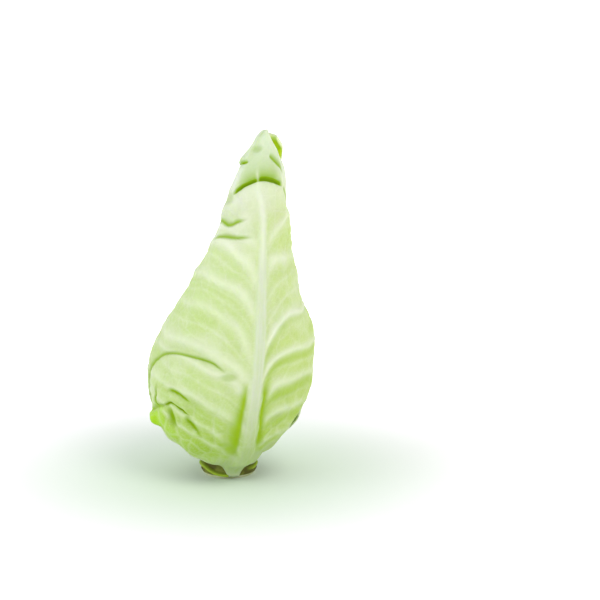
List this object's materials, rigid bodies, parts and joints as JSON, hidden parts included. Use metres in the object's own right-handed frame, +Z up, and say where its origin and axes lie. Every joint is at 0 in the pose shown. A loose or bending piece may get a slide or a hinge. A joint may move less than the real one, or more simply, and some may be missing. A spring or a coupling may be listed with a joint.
{
  "type": "spring cabbage",
  "caption": "Whole pointed spring cabbage: ribbed wrapper leaves wound round a tight heart, standing on its cut stalk.",
  "frame": {"origin": "centre of the stalk's cut face, which the head stands on", "axes": "+Z up along the stalk, -Y towards the front leaf, +X the way the head's point leans"},
  "size_m": [0.1051, 0.105, 0.2148],
  "materials": {
    "leaf": "waxy, pale green, cream along the veins",
    "heart": "smooth, pale yellow",
    "stalk": "moist cut flesh, cream"
  },
  "bodies": {
    "root": {"stalk": "stalk", "heart": "heart", "front_leaf": "leaf", "back_leaf": "leaf", "left_leaf": "leaf", "right_leaf": "leaf", "inner_back_leaf": "leaf", "inner_front_leaf": "leaf"}
  },
  "joints": []
}
